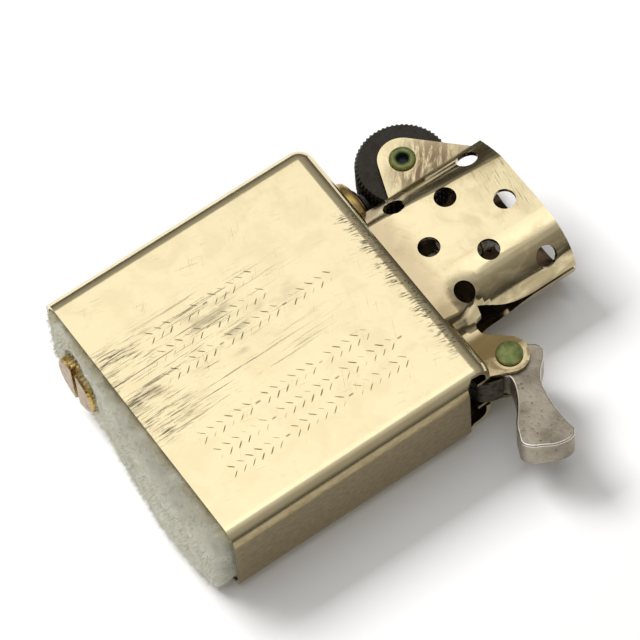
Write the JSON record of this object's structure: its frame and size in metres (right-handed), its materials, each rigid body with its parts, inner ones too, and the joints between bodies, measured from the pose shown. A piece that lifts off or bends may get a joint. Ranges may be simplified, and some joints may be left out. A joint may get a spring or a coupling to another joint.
{
  "type": "pocket lighter inside unit",
  "caption": "Brass inside unit of a flip-top windproof pocket lighter, lying on its back, with flint wheel, perforated chimney, cam lever, felt pad and flint screw.",
  "frame": {"origin": "centre of the can's broad back face, which the unit lies on", "axes": "+Z out of the front face, +Y from the felt end to the top of the chimney, +X from the flint wheel's side to the cam's side"},
  "size_m": [0.0452, 0.0527, 0.0116],
  "materials": {
    "brass_sheet": "polished brass sheet, lightly scratched and tarnished",
    "brass_turned": "turned brass with brown tarnish",
    "green_brass": "brass with green verdigris",
    "wheel_steel": "blackened hardened steel",
    "cam_steel": "sintered steel, dull grain, polished edges",
    "spring_steel": "bright spring steel",
    "flint_metal": "dull grey flint alloy",
    "copper": "bare copper wire",
    "felt": "off-white wool felt, stained near the rim",
    "packing_cotton": "absorbent fibre packing",
    "wick_cotton": "braided fibre wick"
  },
  "bodies": {
    "unit": {"case_shell": "brass_sheet", "chimney": "brass_sheet", "wheel_rivet": "green_brass", "cam_rivet": "green_brass", "cam_spring": "spring_steel", "cam_spring_rivet": "brass_turned", "flint_tube": "brass_turned", "tube_collar": "brass_turned", "felt_pad": "felt", "packing_1": "packing_cotton", "packing_2": "packing_cotton", "packing_3": "packing_cotton", "packing_4": "packing_cotton", "packing_5": "packing_cotton", "wick": "wick_cotton", "wick_wire": "copper"},
    "wheel": {"flint_wheel": "wheel_steel"},
    "lever": {"cam": "cam_steel"},
    "feed_spring": {"flint_spring": "spring_steel"},
    "screw": {"flint_screw": "brass_turned"},
    "flint_rod": {"flint": "flint_metal"},
    "tip": {"spring_tip": "brass_turned"},
    "flap": {"felt_flap": "felt"}
  },
  "joints": [
    {"name": "wheel_spin", "type": "hinge", "parent": "unit", "child": "wheel", "pos_m": [-0.0105, 0.0247, 0.0058], "axis": [0, 0, 1], "continuous": true},
    {"name": "cam_swing", "type": "hinge", "parent": "unit", "child": "lever", "pos_m": [0.01565, 0.01995, 0.0058], "axis": [0, 0, 1], "range_deg": [0, 105]},
    {"name": "screw_travel", "type": "slide", "parent": "unit", "child": "feed_spring", "axis": [0, -1, 0], "range_m": [0, 0.0044]},
    {"name": "screw_turn", "type": "hinge", "parent": "feed_spring", "child": "screw", "pos_m": [-0.00995, -0.0188, 0.0058], "axis": [0, -1, 0], "range_deg": [0, 3168]},
    {"name": "flint_feed", "type": "slide", "parent": "unit", "child": "flint_rod", "axis": [0, -1, 0], "range_m": [0, 0.0015], "stiffness_N_per_m": 200, "deforming": ["flint_spring"]},
    {"name": "tip_feed", "type": "slide", "parent": "unit", "child": "tip", "axis": [0, -1, 0], "range_m": [0, 0.0015], "deforming": ["flint_spring"]},
    {"name": "felt_lift", "type": "hinge", "parent": "unit", "child": "flap", "pos_m": [-0.00545, -0.01828, 0.0058], "axis": [0, 0, -1], "range_deg": [0, 70]}
  ],
  "couplings": [
    {"joint": "screw_turn", "follows": "screw_travel", "rad_per_m": 12566},
    {"joint": "tip_feed", "follows": "flint_feed", "ratio": 1}
  ]
}
